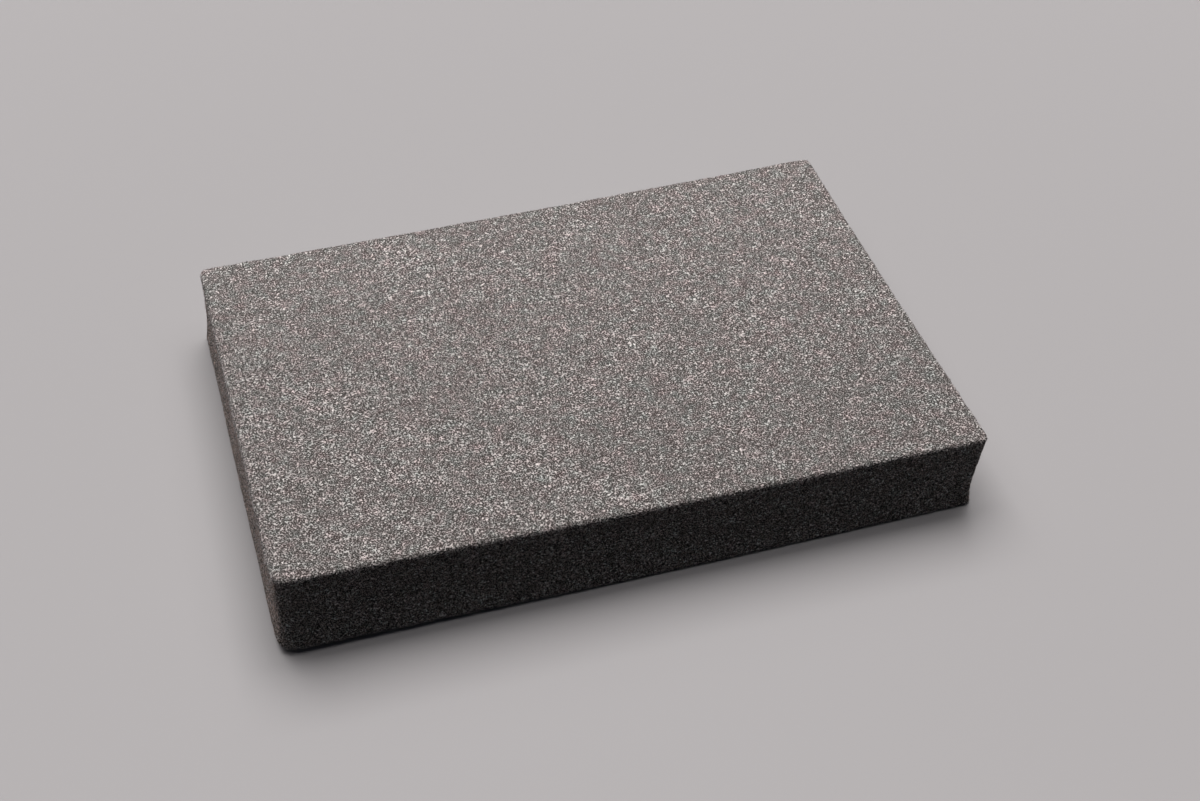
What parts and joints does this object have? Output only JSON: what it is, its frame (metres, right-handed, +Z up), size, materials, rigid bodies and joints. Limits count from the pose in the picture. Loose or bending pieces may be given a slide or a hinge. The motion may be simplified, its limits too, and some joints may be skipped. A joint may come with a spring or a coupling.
{
  "type": "foam block",
  "caption": "Flat rectangular slab of charcoal open-cell foam with slightly hollow cut sides and one corner curled up a little, used as a soft pad, spacer or packing filler.",
  "frame": {"origin": "on the ground plane, in the middle of the block's outline", "axes": "+X along the length, +Y along the width, +Z up through the thickness"},
  "size_m": [0.1512, 0.1054, 0.0216],
  "materials": {
    "foam": "open-cell polyurethane foam, charcoal, matt, cut face"
  },
  "bodies": {
    "root": {"foam_block": "foam"}
  },
  "joints": []
}
